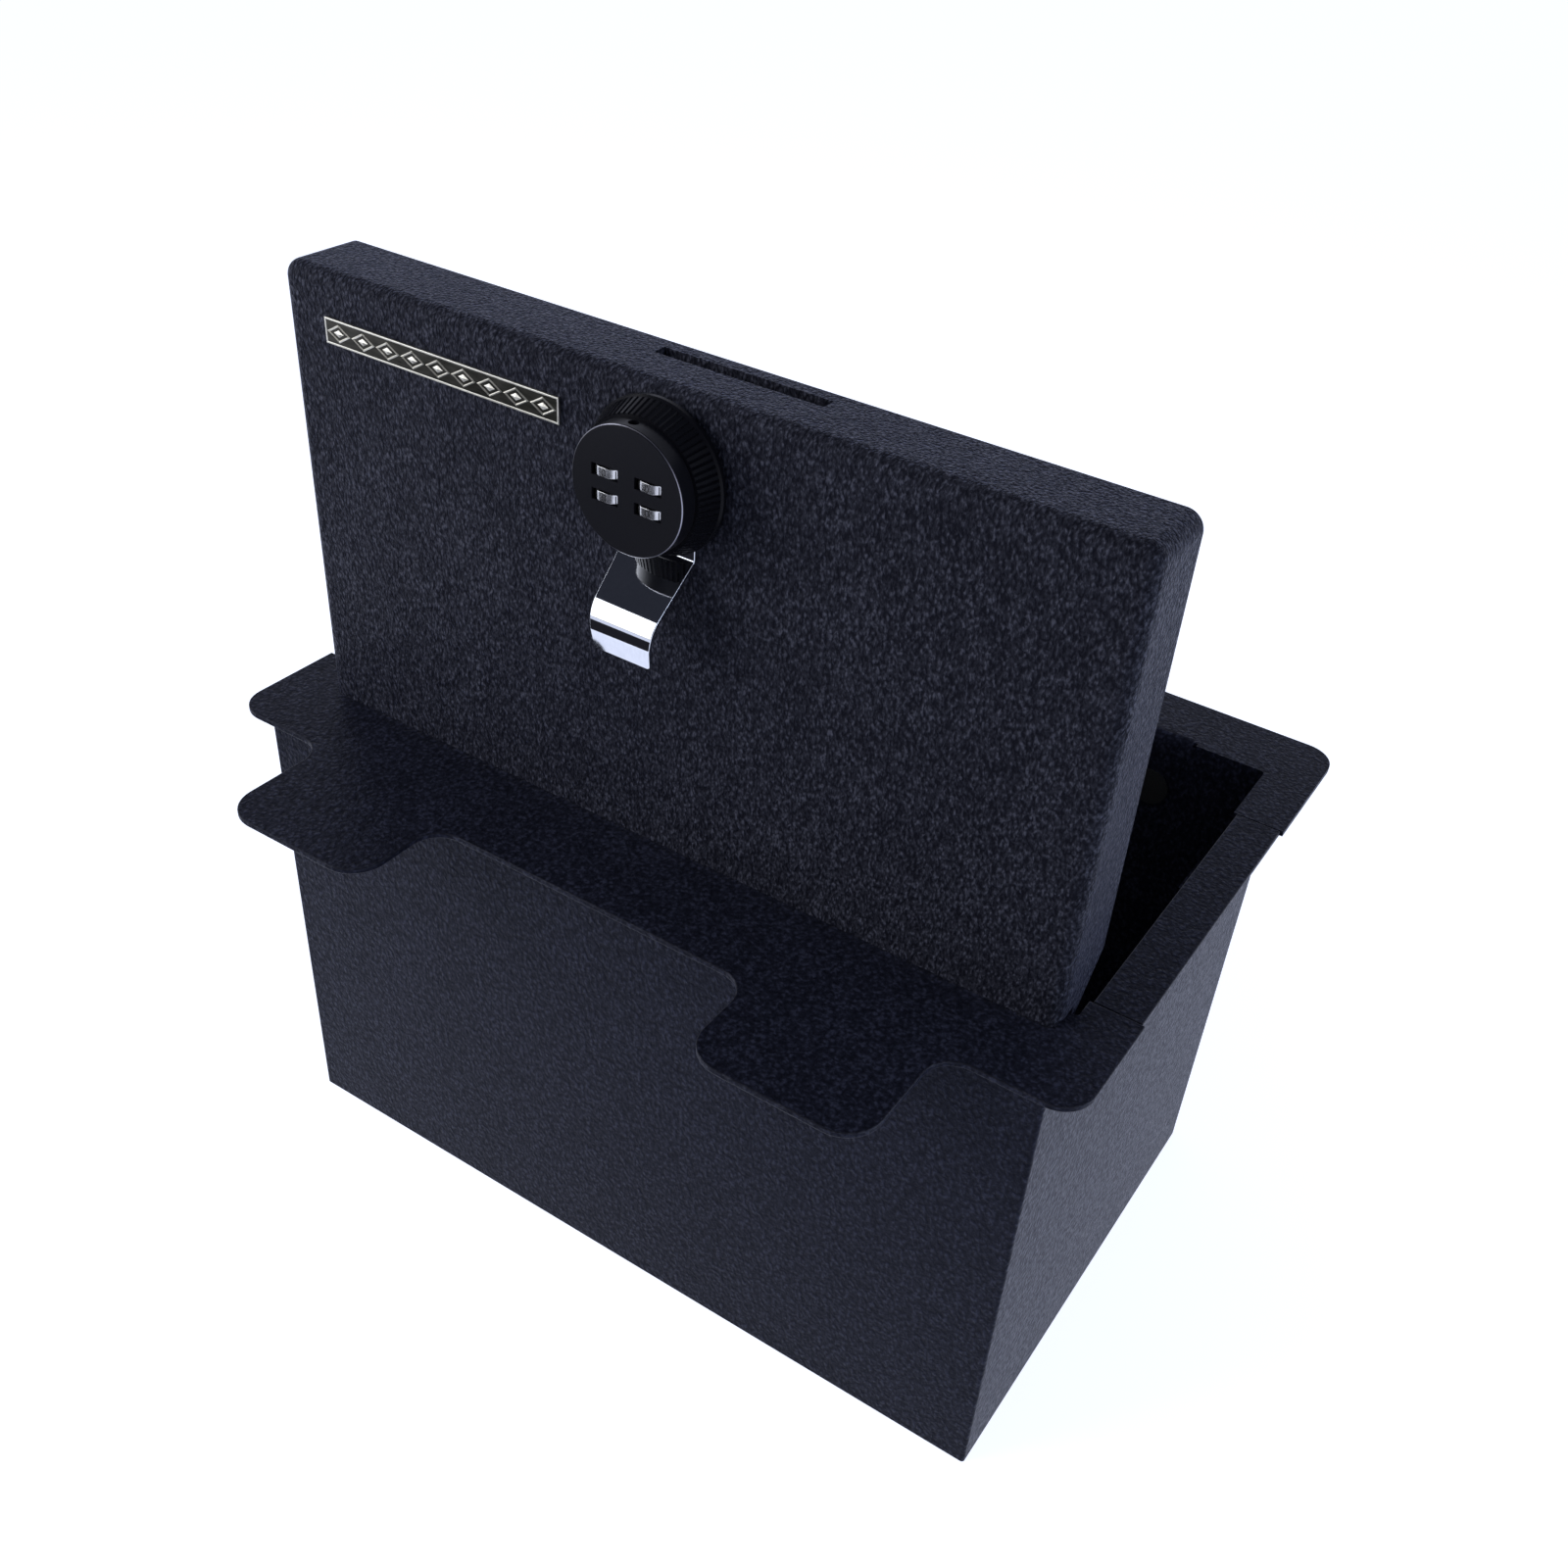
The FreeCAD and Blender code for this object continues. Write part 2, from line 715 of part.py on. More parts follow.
def make_knob_face():
    cap = disc_ahead(cap_radius, skirt_front, face_front)
    rim = lambda e: abs(e.BoundBox.YMax - (lid_face_y - face_front)) < tiny
    cap = cap.makeChamfer(cap_bevel, [e for e in cap.Edges if rim(e) and e.BoundBox.XLength > cap_radius])
    cap = cap.cut(disc_ahead(knob_bore_radius, skirt_front, face_back))
    wheel_half_chord = math.sqrt(wheel_radius ** 2 - (face_back - wheel_middle) ** 2)
    window_half_width = wheel_half_chord + wheel_gap
    window_half_height = wheel_width / 2 + wheel_gap
    cuts = []
    for x, up in wheel_places:
        cuts.append(block(
            x - window_half_width, x + window_half_width,
            lid_face_y - face_front, lid_face_y - face_back,
            knob_z + up - window_half_height, knob_z + up + window_half_height,
        ))
    band_middle = (skirt_front + face_back) / 2
    cuts.append(Part.makeCylinder(code_hole_radius, cap_radius, on_knob(0, band_middle, 0), Z_DIR))
    return cap.cut(cuts)


def make_carrier():
    carrier = disc_ahead(knob_bore_radius - carrier_clearance, head_front, face_back)
    cuts = []
    for x, up in wheel_places:
        cuts.append(block(
            x - wheel_radius - wheel_gap, x + wheel_radius + wheel_gap,
            lid_face_y - face_back, lid_face_y - head_front,
            knob_z + up - wheel_width / 2 - wheel_gap, knob_z + up + wheel_width / 2 + wheel_gap,
        ))
    for x in (-wheel_column, wheel_column):
        cuts.append(make_axle(x))
        cuts.append(make_spring(x))
    return carrier.cut(cuts)


def make_axle(x):
    reach = wheel_row + wheel_width / 2 + wheel_gap + axle_overrun
    return Part.makeCylinder(axle_radius, 2 * reach, on_knob(x, wheel_middle, -reach))


def make_spring(x):
    reach = wheel_row + wheel_width / 2
    return block(
        x - spring_width / 2, x + spring_width / 2,
        lid_face_y - head_front - spring_thickness, lid_face_y - head_front,
        knob_z - reach, knob_z + reach,
    )


def make_wheel(x, up):
    low = on_knob(x, wheel_middle, up - wheel_width / 2)
    start = math.pi / 2 - math.pi / wheel_sides
    points = []
    for angle in turns(wheel_sides):
        points.append(low + V(math.cos(start + angle), math.sin(start + angle), 0) * wheel_radius)
    wheel = Part.Face(Part.makePolygon(points + points[:1])).extrude(V(0, 0, wheel_width))
    return wheel.cut(Part.makeCylinder(axle_radius + axle_clearance, wheel_width, low))


# Lid rests and plug
def make_lid_rest():
    y = wall_in_y - rest_from_rear
    ledge = block(wall_in_x - rest_reach, wall_in_x, y, y + rest_length, ledge_top - sheet, ledge_top)
    leg = block(wall_in_x - sheet, wall_in_x, y, y + rest_length, ledge_top - rest_leg, ledge_top - sheet)
    return ledge.fuse(leg).removeSplitter()


def make_bumper():
    middle = lid_half - sheet / 2
    y = wall_in_y - rest_from_rear
    return block(
        middle - bumper_width / 2, middle + bumper_width / 2,
        y + bumper_margin, y + rest_length - bumper_margin,
        ledge_top, ledge_top + bumper_height,
    )


def make_plug():
    inner = Part.makeCylinder(plug_flange_radius, plug_inner_lip, plug_centre, -Y_DIR)
    neck = Part.makeCylinder(plug_hole_radius, sheet, plug_centre, Y_DIR)
    outer = Part.makeCylinder(plug_flange_radius, plug_outer_lip, plug_centre + Y_DIR * sheet, Y_DIR)
    return inner.fuse([neck, outer]).removeSplitter()


# Places that several pieces share
boss_radius = hinge_drop - sheet - ear_gap
pivot_v = -hinge_drop - lid_open_gap
neck_u = hinge_drop + plate_lip + ear_gap
block_in_x = lid_half + washer_gap + washer_thickness
ledge_top = flange_top - lid_depth - rest_gap - bumper_height
plug_centre = V(plug_x, wall_in_y, flange_top - plug_drop)
closed_knob_y = lid_closed_front_y + lid_height - knob_from_top
tongue_sweep = math.hypot(tongue_length, tongue_width / 2)
tongue_sweep_right = math.sqrt(tongue_sweep ** 2 - (wall_in_y - closed_knob_y) ** 2)
wheel_places = [(x, up) for up in (wheel_row, -wheel_row) for x in (-wheel_column, wheel_column)]

parts = {}
parts["front_wall"] = make_front_wall()
parts["rear_panel"] = make_rear_panel()
parts["right_wall"] = make_side_wall()
parts["left_wall"] = mirrored(parts["right_wall"])
parts["floor_panel"] = make_floor()
parts["front_flange_plate"] = make_front_plate()
parts["right_flange_strip"] = make_flange_strip()
parts["left_flange_strip"] = mirrored(parts["right_flange_strip"])
parts["right_hinge_block"] = make_hinge_block()
parts["left_hinge_block"] = mirrored(parts["right_hinge_block"])
pin = make_hinge_pin()
parts["hinge_pins"] = Part.makeCompound([pin, mirrored(pin)])
washer = make_hinge_washer()
parts["hinge_washers"] = Part.makeCompound([washer, mirrored(washer)])
parts["right_lid_rest"] = make_lid_rest()
parts["left_lid_rest"] = mirrored(parts["right_lid_rest"])
bumper = make_bumper()
parts["rest_bumpers"] = Part.makeCompound([bumper, mirrored(bumper)])
parts["cable_plug"] = make_plug()

parts["lid_shell"] = make_lid_shell()
parts["right_ear_doubler"] = make_doubler()
parts["left_ear_doubler"] = mirrored(parts["right_ear_doubler"])
parts["nameplate_tray"], parts["nameplate_inlay"] = make_nameplate()
parts["finger_pull"] = make_finger_pull()
parts["lock_barrel"] = make_lock_barrel()
parts["lock_backing_plate"] = make_backing_plate()
parts["lock_nut"] = make_lock_nut()
parts["tongue_guard"] = make_tongue_guard()

parts["knob_skirt"] = make_knob_skirt()
parts["knob_face"] = make_knob_face()
parts["wheel_carrier"] = make_carrier()
parts["wheel_axles"] = Part.makeCompound([make_axle(-wheel_column), make_axle(wheel_column)])
parts["detent_springs"] = Part.makeCompound([make_spring(-wheel_column), make_spring(wheel_column)])
parts["lock_spindle"] = make_spindle()
parts["latch_tongue"] = make_tongue()
parts["tongue_washer"] = make_tongue_washer()
parts["tongue_screw"] = make_tongue_screw()
for number, (x, up) in enumerate(wheel_places, start=1):
    parts[f"number_wheel_{number}"] = make_wheel(x, up)

os.makedirs("parts", exist_ok=True)
for name, shape in parts.items():
    shape.exportStep(f"parts/{name}.step")
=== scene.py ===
import json
import math

import bmesh
import bpy
from mathutils import Matrix, Vector


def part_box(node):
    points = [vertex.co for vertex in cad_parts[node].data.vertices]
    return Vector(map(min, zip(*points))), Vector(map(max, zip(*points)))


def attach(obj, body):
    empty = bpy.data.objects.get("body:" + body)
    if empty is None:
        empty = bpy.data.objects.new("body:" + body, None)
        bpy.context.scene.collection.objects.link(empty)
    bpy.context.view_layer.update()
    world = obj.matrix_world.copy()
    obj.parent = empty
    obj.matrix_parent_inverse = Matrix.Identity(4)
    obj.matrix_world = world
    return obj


# Looks of a drop-in console lock box, in metres, in the frame of its solids.
# The lid stands open at rest, with its face towards -Y.
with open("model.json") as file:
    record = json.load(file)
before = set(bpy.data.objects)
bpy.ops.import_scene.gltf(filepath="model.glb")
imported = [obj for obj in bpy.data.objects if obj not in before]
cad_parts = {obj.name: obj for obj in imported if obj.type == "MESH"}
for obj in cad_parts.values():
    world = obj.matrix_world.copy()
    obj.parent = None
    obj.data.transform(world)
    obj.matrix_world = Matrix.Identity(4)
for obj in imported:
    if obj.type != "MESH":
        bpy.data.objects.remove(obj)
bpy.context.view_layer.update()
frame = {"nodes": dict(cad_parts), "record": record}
nodes = frame["nodes"]

# Camera, from the photograph's perspective
camera_place = Vector((0.2486, -0.4090, 0.5091))
camera_direction = Vector((-0.3880, 0.6944, -0.6060))
camera_roll = math.radians(5.46)
camera_lens_mm = 37.1
camera_sensor_mm = 36.0
camera_shift = (-0.0251, 0.0354)

# Studio
floor_radius = 4.0
floor_drop = 0.0002
floor_glow = (0.80, 0.83, 0.96, 1)
floor_white = (0.62, 0.64, 0.70, 1)
room_light = (0.28, 0.31, 0.39, 1)
canopy_radius = 2.5
canopy_low = 0.10
ceiling_dark = (0.030, 0.033, 0.045, 1)
ceiling_pale = (1.02, 1.06, 1.26, 1)
flag_middle = Vector((0, -0.09, 0))
flag_radius = 0.37
flag_height = 0.205
flag_colour = (0.020, 0.020, 0.026, 1)
flag_from_degrees = 196
flag_to_degrees = 285

# Coat colours: dark valleys and pale tops of the grain; the pale tops are painted glints
lid_valley = (0.0094, 0.0094, 0.0138, 1)
lid_glint_crest = (0.084, 0.085, 0.110, 1)
tub_valley = (0.0072, 0.0076, 0.0126, 1)
tub_glint_crest = (0.0330, 0.0350, 0.0560, 1)
# Lighter colours for rounded sheet edges: a painted sheen along the edges
edge_sheen_valley = (0.0100, 0.0100, 0.0140, 1)
edge_sheen_crest = (0.0340, 0.0340, 0.0430, 1)
coat_tint = (0.62, 0.69, 1.0, 1)
sheen_tint = (0.46, 0.54, 0.95, 1)
rim_metal = (0.32, 0.32, 0.38, 1)

# Shares and sizes in the materials
pebble_rate = 0.9
pebble_share = -0.35
patch_share = 0.12
patch_scale = 45.0
slope_share = 0.25
sheen_roughness = 0.26
mark_scale = 900.0
cloud_scale = 120.0
cloud_share = 0.6
drift_scale = 40.0
drift_share = 0.5


# Node helpers
def new_material(name):
    """A node material with only its shader and output."""
    material = bpy.data.materials.new(name)
    material.use_nodes = True
    return material, material.node_tree, material.node_tree.nodes["Principled BSDF"]


def add_node(tree, kind, inputs=None, **settings):
    """A node with its settings and input values."""
    node = tree.nodes.new(kind)
    for key, value in settings.items():
        setattr(node, key, value)
    for key, value in (inputs or {}).items():
        node.inputs[key].default_value = value
    return node


def object_coords(tree, stretch):
    """Object coordinates, stretched along the axes."""
    coords = add_node(tree, "ShaderNodeTexCoord")
    mapping = add_node(tree, "ShaderNodeMapping", {"Scale": stretch})
    tree.links.new(coords.outputs["Object"], mapping.inputs["Vector"])
    return mapping.outputs["Vector"]


def noise(tree, vector, scale, detail, roughness, distortion=0.0):
    node = add_node(tree, "ShaderNodeTexNoise", {
        "Scale": scale, "Detail": detail, "Roughness": roughness, "Distortion": distortion,
    })
    tree.links.new(vector, node.inputs["Vector"])
    return node.outputs[0]


def cells(tree, vector, scale, smoothness):
    values = {"Scale": scale, "Smoothness": smoothness}
    node = add_node(tree, "ShaderNodeTexVoronoi", values, feature="SMOOTH_F1")
    tree.links.new(vector, node.inputs["Vector"])
    return node.outputs["Distance"]


def math_node(tree, operation, first, second, third=None):
    """A Math node; each operand is a socket or a number."""
    node = add_node(tree, "ShaderNodeMath", operation=operation)
    for i, value in enumerate((first, second, third)):
        if value is None:
            continue
        if isinstance(value, (int, float)):
            node.inputs[i].default_value = value
        else:
            tree.links.new(value, node.inputs[i])
    return node.outputs[0]


def remap(tree, value, low, high, to_low, to_high):
    node = add_node(tree, "ShaderNodeMapRange", {
        "From Min": low, "From Max": high, "To Min": to_low, "To Max": to_high,
    })
    tree.links.new(value, node.inputs["Value"])
    return node.outputs[0]


def ramp(tree, value, stops):
    """A colour ramp through (place, colour) stops."""
    node = add_node(tree, "ShaderNodeValToRGB")
    elements = node.color_ramp.elements
    while len(elements) < len(stops):
        elements.new(0.5)
    for element, (place, colour) in zip(elements, stops):
        element.position = place
        element.color = colour
    tree.links.new(value, node.inputs[0])
    return node.outputs[0]


def bump(tree, shader, height, distance, strength):
    node = add_node(tree, "ShaderNodeBump", {"Distance": distance, "Strength": strength})
    tree.links.new(height, node.inputs["Height"])
    tree.links.new(node.outputs[0], shader.inputs["Normal"])


def feed(tree, shader, socket, value):
    tree.links.new(value, shader.inputs[socket])


# Materials
def coat(name, grain, stretch, relief, colours, glint_specks, roughness, gloss, sheen):
    """Textured powder coat: crisp grain of a given size, dull dark valleys and pale shiny tops
    painted as glints.
    """
    material, tree, shader = new_material(name)
    vector = object_coords(tree, stretch)
    wrinkles = noise(tree, vector, 1 / grain, detail=2.0, roughness=0.55, distortion=0.4)
    pebbles = cells(tree, vector, pebble_rate / grain, smoothness=0.25)
    height = math_node(tree, "MULTIPLY_ADD", pebbles, pebble_share, wrinkles)
    patches = noise(tree, object_coords(tree, (1, 1, 1)), patch_scale, detail=2.0, roughness=0.5)
    tone = math_node(tree, "MULTIPLY_ADD", patches, patch_share, height)
    # The colour ramp runs from the dark valleys to pale tops painted as glints: light caught by the
    # grain, put into its colour.
    valley, glint_crest = colours
    low, high = glint_specks
    slope = [dark + slope_share * (pale - dark) for dark, pale in zip(valley, glint_crest)]
    stops = [(low, valley), ((low + high) / 2, slope), (high, glint_crest)]
    feed(tree, shader, "Base Color", ramp(tree, tone, stops))
    dull, shiny = roughness
    finish = remap(tree, height, low=0.15, high=0.50, to_low=dull, to_high=shiny)
    feed(tree, shader, "Roughness", finish)
    bump(tree, shader, height, distance=relief, strength=1.0)
    shader.inputs["Specular Tint"].default_value = coat_tint
    shader.inputs["Specular IOR Level"].default_value = gloss
    shader.inputs["Sheen Weight"].default_value = sheen
    shader.inputs["Sheen Tint"].default_value = sheen_tint
    shader.inputs["Sheen Roughness"].default_value = sheen_roughness
    return material


def brushed_metal(name, dark, light, roughness, stretch, relief):
    """Plated or machined metal with fine marks along one axis and soft cloudy patches."""
    material, tree, shader = new_material(name)
    vector = object_coords(tree, stretch)
    marks = noise(tree, vector, mark_scale, detail=3.0, roughness=0.6)
    clouds = noise(tree, object_coords(tree, (1, 1, 1)), cloud_scale, detail=2.0, roughness=0.5)
    tone = math_node(tree, "MULTIPLY_ADD", clouds, cloud_share, marks)
    feed(tree, shader, "Base Color", ramp(tree, tone, [(0.55, dark), (1.0, light)]))
    low, high = roughness
    feed(tree, shader, "Roughness", remap(tree, tone, low=0.5, high=1.1, to_low=low, to_high=high))
    bump(tree, shader, marks, distance=relief, strength=0.5)
    shader.inputs["Metallic"].default_value = 1.0
    return material


def moulded(name, dark, light, roughness, speckle, relief, gloss=0.5):
    """Moulded plastic, rubber or satin paint with a fine speckled skin."""
    material, tree, shader = new_material(name)
    vector = object_coords(tree, (1, 1, 1))
    skin = noise(tree, vector, 1 / speckle, detail=3.0, roughness=0.6)
    drift = noise(tree, vector, drift_scale, detail=2.0, roughness=0.5)
    tone = math_node(tree, "MULTIPLY_ADD", drift, drift_share, skin)
    feed(tree, shader, "Base Color", ramp(tree, tone, [(0.5, dark), (1.0, light)]))
    low, high = roughness
    feed(tree, shader, "Roughness", remap(tree, tone, low=0.5, high=1.0, to_low=low, to_high=high))
    bump(tree, shader, skin, distance=relief, strength=0.6)
    shader.inputs["Specular IOR Level"].default_value = gloss
    return material


def polish_rim(material, middle, radius, depth):
    """Bare polished metal on the edge of a round cap: outside a radius, in front of a depth."""
    tree = material.node_tree
    shader = tree.nodes["Principled BSDF"]
    coords = add_node(tree, "ShaderNodeTexCoord")
    across = add_node(tree, "ShaderNodeVectorMath", {1: middle}, operation="SUBTRACT")
    tree.links.new(coords.outputs["Object"], across.inputs[0])
    flat = add_node(tree, "ShaderNodeVectorMath", {1: (1, 0, 1)}, operation="MULTIPLY")
    tree.links.new(across.outputs[0], flat.inputs[0])
    reach = add_node(tree, "ShaderNodeVectorMath", operation="LENGTH")
    tree.links.new(flat.outputs[0], reach.inputs[0])
    split = add_node(tree, "ShaderNodeSeparateXYZ")
    tree.links.new(across.outputs[0], split.inputs[0])
    outside = math_node(tree, "GREATER_THAN", reach.outputs["Value"], radius)
    in_front = math_node(tree, "LESS_THAN", split.outputs["Y"], depth)
    rim = math_node(tree, "MULTIPLY", outside, in_front)
    feed(tree, shader, "Metallic", rim)
    paint = shader.inputs["Base Color"].links[0].from_socket
    # In a colour mix, inputs 6 and 7 are the two colours and output 2 is the result
    choice = add_node(tree, "ShaderNodeMix", data_type="RGBA")
    tree.links.new(rim, choice.inputs[0])
    tree.links.new(paint, choice.inputs[6])
    choice.inputs[7].default_value = rim_metal
    feed(tree, shader, "Base Color", choice.outputs[2])


materials = {
    "lid_coat": coat(
        "lid_coat", grain=0.0010, stretch=(1.1, 1, 0.65), relief=0.00085,
        colours=(lid_valley, lid_glint_crest), glint_specks=(0.24, 0.66), roughness=(0.52, 0.33), gloss=0.036,
        sheen=0.22,
    ),
    "tub_coat": coat(
        "tub_coat", grain=0.0014, stretch=(1, 1, 0.75), relief=0.00035,
        colours=(tub_valley, tub_glint_crest), glint_specks=(0.20, 0.62), roughness=(0.46, 0.32), gloss=0.042,
        sheen=0.13,
    ),
    # Rounded flange edges: a lighter, glossier coat painted as sheen along the edges
    "edge_sheen": coat(
        "edge_sheen", grain=0.0014, stretch=(1, 1, 1), relief=0.00010,
        colours=(edge_sheen_valley, edge_sheen_crest), glint_specks=(0.20, 0.62), roughness=(0.40, 0.30), gloss=0.12,
        sheen=0.05,
    ),
    "zinc_steel": brushed_metal(
        "zinc_steel", dark=(0.20, 0.20, 0.20, 1), light=(0.40, 0.40, 0.39, 1),
        roughness=(0.28, 0.42), stretch=(0.3, 1, 1), relief=0.00001,
    ),
    "lock_brass": brushed_metal(
        "lock_brass", dark=(0.42, 0.31, 0.13, 1), light=(0.72, 0.57, 0.28, 1),
        roughness=(0.22, 0.38), stretch=(1, 0.3, 1), relief=0.00002,
    ),
    "chrome": brushed_metal(
        "chrome", dark=(0.56, 0.58, 0.63, 1), light=(0.61, 0.63, 0.68, 1), roughness=(0.03, 0.06),
        stretch=(1, 1, 0.4), relief=0.000001,
    ),
    "knob_black": moulded(
        "knob_black", dark=(0.0040, 0.0040, 0.0054, 1), light=(0.0080, 0.0080, 0.0108, 1),
        roughness=(0.30, 0.24), speckle=0.0003, relief=0.00001, gloss=0.08,
    ),
    "knob_front": moulded(
        "knob_front", dark=(0.0048, 0.0048, 0.0066, 1), light=(0.0088, 0.0088, 0.0122, 1),
        roughness=(0.40, 0.32), speckle=0.0003, relief=0.00001, gloss=0.15,
    ),
    "wheel_silver": brushed_metal(
        "wheel_silver", dark=(0.42, 0.42, 0.43, 1), light=(0.66, 0.66, 0.67, 1),
        roughness=(0.18, 0.30), stretch=(1, 1, 0.2), relief=0.00001,
    ),
    "carrier_plastic": moulded(
        "carrier_plastic", dark=(0.006, 0.006, 0.007, 1), light=(0.014, 0.014, 0.015, 1),
        roughness=(0.60, 0.48), speckle=0.0004, relief=0.00002,
    ),
    "nylon": moulded(
        "nylon", dark=(0.58, 0.56, 0.50, 1), light=(0.70, 0.68, 0.62, 1), roughness=(0.50, 0.40),
        speckle=0.0005, relief=0.00002,
    ),
    "rubber": moulded(
        "rubber", dark=(0.007, 0.007, 0.007, 1), light=(0.015, 0.015, 0.016, 1),
        roughness=(0.85, 0.70), speckle=0.0005, relief=0.00004,
    ),
    "plate_metal": brushed_metal(
        "plate_metal", dark=(0.52, 0.50, 0.44, 1), light=(0.68, 0.66, 0.59, 1),
        roughness=(0.32, 0.44), stretch=(0.2, 1, 1), relief=0.000004,
    ),
    "plate_field": brushed_metal(
        "plate_field", dark=(0.026, 0.025, 0.020, 1), light=(0.056, 0.053, 0.044, 1),
        roughness=(0.26, 0.36), stretch=(0.2, 1, 1), relief=0.000004,
    ),
    "digit_paint": moulded(
        "digit_paint", dark=(0.006, 0.006, 0.006, 1), light=(0.014, 0.014, 0.014, 1),
        roughness=(0.60, 0.50), speckle=0.0002, relief=0.000004,
    ),
}


def dress(piece, material):
    piece.data.materials.clear()
    piece.data.materials.append(materials[material])


for subpart in frame["record"]["subparts"]:
    dress(nodes[subpart["node"]], subpart["material_slot"])

face_low, face_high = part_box("knob_face")
face_radius = (face_high.x - face_low.x) / 2
face_middle = (face_low + face_high) / 2
half_depth = (face_high.y - face_low.y) / 2
rim_reach = 0.000352
polish_rim(materials["knob_front"], face_middle, face_radius - rim_reach, rim_reach - half_depth)
dress(nodes["knob_face"], "knob_front")


# Softened edges of the flange, trim, latch and wheels
def soften(node, width, edge=None):
    """Joins a mesh's faces and rounds its sharp edges, giving them a material of their own if one is
    given (a lighter coat: painted sheen).
    """
    piece = nodes[node]
    weld = piece.modifiers.new("weld", "WELD")
    weld.merge_threshold = 1e-6
    flat = piece.modifiers.new("flat_faces", "DECIMATE")
    flat.decimate_type = "DISSOLVE"
    flat.angle_limit = math.radians(0.5)
    bevel = piece.modifiers.new("soft_edges", "BEVEL")
    bevel.width = width
    bevel.segments = 3
    bevel.limit_method = "ANGLE"
    bevel.angle_limit = math.radians(40)
    if edge:
        piece.data.materials.append(materials[edge])
        bevel.material = 1
    normals = piece.modifiers.new("even_normals", "WEIGHTED_NORMAL")
    normals.weight = 60


sheet_edge = 0.0004
wheel_edge = 0.00012
# The flange's rounded edges get the lighter edge coat: painted sheen.
for node in ("front_flange_plate", "left_flange_strip", "right_flange_strip"):
    soften(node, sheet_edge, "edge_sheen")

soft_edges = {
    "finger_pull": 0.0003,
    "nameplate_tray": 0.0002,
    "latch_tongue": 0.0004,
    "lock_nut": 0.0004,
    "lock_backing_plate": 0.0003,
}
for node, width in soft_edges.items():
    soften(node, width)
for number in range(1, 5):
    soften(f"number_wheel_{number}", wheel_edge)


# Pieces made here
def new_piece(name, mesh, body, material):
    piece = bpy.data.objects.new(name, mesh)
    bpy.context.scene.collection.objects.link(piece)
    piece.data.materials.append(materials[material])
    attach(piece, body)


# Number wheels: plain digits on the ten flats, read from the latch side when the lid is shut
wheel_flats = 10
digit_height = 0.0023
digit_thickness = 0.00004
digit_share_of_size = 0.70


def digit_mesh(digit):
    """One digit lying in XY, centred, with a little thickness."""
    text = bpy.data.curves.new("digit", "FONT")
    text.body = str(digit)
    text.align_x = "CENTER"
    text.align_y = "CENTER"
    text.size = digit_height / digit_share_of_size
    text.extrude = digit_thickness
    text.resolution_u = 4
    holder = bpy.data.objects.new("digit", text)
    bpy.context.scene.collection.objects.link(holder)
    bpy.context.view_layer.update()
    solid = holder.evaluated_get(bpy.context.evaluated_depsgraph_get())
    mesh = bpy.data.meshes.new_from_object(solid)
    bpy.data.objects.remove(holder)
    return mesh


def add_digits(number):
    node = f"number_wheel_{number}"
    low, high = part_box(node)
    middle = (low + high) / 2
    flat_reach = (high.y - low.y) / 2
    facing = Matrix(((-1, 0, 0), (0, 0, -1), (0, -1, 0))).to_4x4()
    digits = bmesh.new()
    for digit in range(wheel_flats):
        mesh = digit_mesh(digit)
        turn = Matrix.Rotation(2 * math.pi * digit / wheel_flats, 4, "Z")
        place = Matrix.Translation(middle) @ turn @ Matrix.Translation((0, -flat_reach, 0)) @ facing
        mesh.transform(place)
        digits.from_mesh(mesh)
    mesh = bpy.data.meshes.new(f"wheel_{number}_digits")
    digits.to_mesh(mesh)
    digits.free()
    new_piece(f"wheel_{number}_digits", mesh, f"wheel_{number}", "digit_paint")


for number in range(1, 5):
    add_digits(number)


# Nameplate: a plain row of lozenges in place of lettering
lozenge_count = 9
lozenge_line = 0.0007
lozenge_rise = 0.00025
lozenge_width_share = 0.96
lozenge_height_share = 0.84
stud_share = 0.40


def add_lozenge(shape, middle, width, height):
    """One lozenge drawn by a ridge of even width."""
    rings = []
    for inset, rise in ((0, 0), (lozenge_line / 2, lozenge_rise), (lozenge_line, 0)):
        reach_x = width / 2 - inset * width / height
        reach_z = height / 2 - inset
        corners = ((-reach_x, 0), (0, -reach_z), (reach_x, 0), (0, reach_z))
        rings.append([shape.verts.new(middle + Vector((x, -rise, z))) for x, z in corners])
    for first, second in ((0, 1), (1, 2), (2, 0)):
        for a in range(4):
            b = (a + 1) % 4
            shape.faces.new((rings[first][a], rings[first][b], rings[second][b], rings[second][a]))


def add_stud(shape, middle, width, height):
    """A low pyramid on a lozenge base."""
    corners = ((-width / 2, 0), (0, -height / 2), (width / 2, 0), (0, height / 2))
    base = [shape.verts.new(middle + Vector((x, 0, z))) for x, z in corners]
    peak = shape.verts.new(middle + Vector((0, -lozenge_rise, 0)))
    shape.faces.new(base)
    for a in range(4):
        shape.faces.new((base[a], base[(a + 1) % 4], peak))


def add_ornament():
    low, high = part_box("nameplate_inlay")
    pitch = (high.x - low.x) / lozenge_count
    height = (high.z - low.z) * lozenge_height_share
    lozenges = bmesh.new()
    for i in range(lozenge_count):
        middle = Vector((low.x + pitch * (i + 0.5), low.y, (low.z + high.z) / 2))
        add_lozenge(lozenges, middle, pitch * lozenge_width_share, height)
        add_stud(lozenges, middle, pitch * stud_share, height * stud_share)
    bmesh.ops.recalc_face_normals(lozenges, faces=lozenges.faces)
    mesh = bpy.data.meshes.new("nameplate_lozenges")
    lozenges.to_mesh(mesh)
    lozenges.free()
    new_piece("nameplate_lozenges", mesh, "lid", "plate_metal")


add_ornament()


